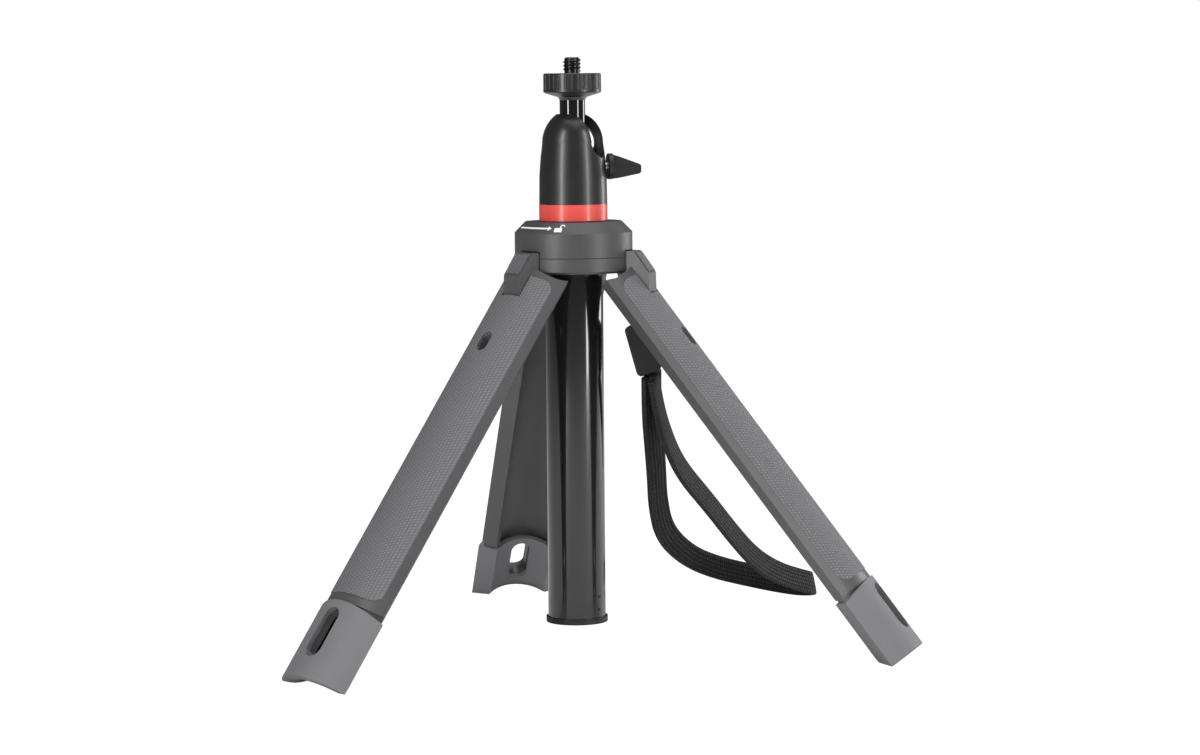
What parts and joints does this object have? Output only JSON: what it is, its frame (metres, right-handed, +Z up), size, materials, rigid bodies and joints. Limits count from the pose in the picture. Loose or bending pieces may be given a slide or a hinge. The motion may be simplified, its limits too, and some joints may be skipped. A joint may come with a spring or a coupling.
{
  "type": "telescoping tripod",
  "caption": "Small folding tripod: three legs hinged to a round hub, a twist-lock column that telescopes, a ball head with a camera screw, and a wrist strap on one leg",
  "frame": {"origin": "middle of the footprint, on the floor", "axes": "+Z up along the column and the camera screw; back leg towards +Y, left leg towards 210 degrees, right leg towards 330 degrees"},
  "size_m": [0.2236, 0.199, 0.2086],
  "materials": {
    "steel": "machined",
    "red": "satin",
    "webbing": "knitted",
    "cord": "braided",
    "black_plastic": "matte",
    "gloss_black": "gloss",
    "ball_metal": "polished",
    "grey_plastic": "fine grain",
    "boot_grey": "matte",
    "pad_rubber": "raised points",
    "satin_black": "satin"
  },
  "bodies": {
    "hub": {"hub_cap": "grey_plastic", "hub_body": "grey_plastic", "hub_screws": "steel", "hinge_pins": "steel", "outer_tube": "gloss_black", "end_cap": "black_plastic", "tube_pins": "steel", "outer_bush": "black_plastic"},
    "stage_1": {"stage_1_bush": "black_plastic", "stage_1_cam": "black_plastic", "stage_1_sleeve": "black_plastic", "stage_1_tube": "gloss_black"},
    "stage_2": {"stage_2_bush": "black_plastic", "stage_2_cam": "black_plastic", "stage_2_sleeve": "black_plastic", "stage_2_tube": "gloss_black"},
    "stage_3": {"stage_3_bush": "black_plastic", "stage_3_cam": "black_plastic", "stage_3_sleeve": "black_plastic", "stage_3_tube": "gloss_black"},
    "stage_4": {"stage_4_cam": "black_plastic", "stage_4_sleeve": "black_plastic", "stage_4_tube": "gloss_black", "tube_plug": "black_plastic", "head_base_screw": "steel"},
    "head": {"head_housing": "satin_black", "pressure_cup": "black_plastic", "red_collar": "red"},
    "lever": {"lock_lever": "satin_black", "lock_screw": "steel"},
    "ball_body": {"ball": "ball_metal"},
    "stem": {"ball_stem": "gloss_black", "camera_screw": "steel"},
    "disc": {"knurled_disc": "satin_black"},
    "back_leg": {"back_foot_boot": "boot_grey", "back_grip_pad": "pad_rubber", "back_hinge_knuckle": "grey_plastic", "back_knuckle_pad": "pad_rubber", "back_leg_shell": "grey_plastic"},
    "left_leg": {"left_foot_boot": "boot_grey", "left_grip_pad": "pad_rubber", "left_hinge_knuckle": "grey_plastic", "left_knuckle_pad": "pad_rubber", "left_leg_shell": "grey_plastic"},
    "right_leg": {"right_foot_boot": "boot_grey", "right_grip_pad": "pad_rubber", "right_hinge_knuckle": "grey_plastic", "right_knuckle_pad": "pad_rubber", "right_leg_shell": "grey_plastic", "strap_block": "black_plastic", "strap_cord": "cord", "strap_webbing": "webbing"}
  },
  "joints": [
    {"name": "back_leg_fold", "type": "hinge", "parent": "hub", "child": "back_leg", "pos_m": [0, -0.00853, 0.1369], "axis": [-1, 0, 0], "range_deg": [0, 37.78]},
    {"name": "left_leg_fold", "type": "hinge", "parent": "hub", "child": "left_leg", "pos_m": [-0.01472, -0.03403, 0.1369], "axis": [0.5, -0.866, 0], "range_deg": [0, 37.78]},
    {"name": "right_leg_fold", "type": "hinge", "parent": "hub", "child": "right_leg", "pos_m": [0.01472, -0.03403, 0.1369], "axis": [0.5, 0.866, 0], "range_deg": [0, 37.78], "deforming": ["strap_webbing", "strap_block", "strap_cord"]},
    {"name": "stage_1_slide", "type": "slide", "parent": "hub", "child": "stage_1", "axis": [0, 0, 1], "range_m": [0, 0.116]},
    {"name": "stage_2_slide", "type": "slide", "parent": "stage_1", "child": "stage_2", "axis": [0, 0, 1], "range_m": [0, 0.112]},
    {"name": "stage_3_slide", "type": "slide", "parent": "stage_2", "child": "stage_3", "axis": [0, 0, 1], "range_m": [0, 0.106]},
    {"name": "stage_4_slide", "type": "slide", "parent": "stage_3", "child": "stage_4", "axis": [0, 0, 1], "range_m": [0, 0.1]},
    {"name": "twist_lock", "type": "hinge", "parent": "stage_4", "child": "head", "pos_m": [0, -0.02553, 0.157], "axis": [0, 0, 1], "range_deg": [0, 60]},
    {"name": "ball_tilt", "type": "hinge", "parent": "head", "child": "ball_body", "pos_m": [0, -0.02553, 0.1785], "axis": [0.5736, 0.8192, 0], "range_deg": [-3, 90]},
    {"name": "ball_pan", "type": "hinge", "parent": "ball_body", "child": "stem", "pos_m": [0, -0.02553, 0.1785], "axis": [0, 0, 1], "continuous": true},
    {"name": "disc_turn", "type": "hinge", "parent": "stem", "child": "disc", "pos_m": [0, -0.02553, 0.2], "axis": [0, 0, 1], "continuous": true},
    {"name": "lock_knob", "type": "hinge", "parent": "head", "child": "lever", "pos_m": [0.01199, -0.02595, 0.1701], "axis": [0.9994, -0.0349, 0], "range_deg": [0, 90]}
  ]
}
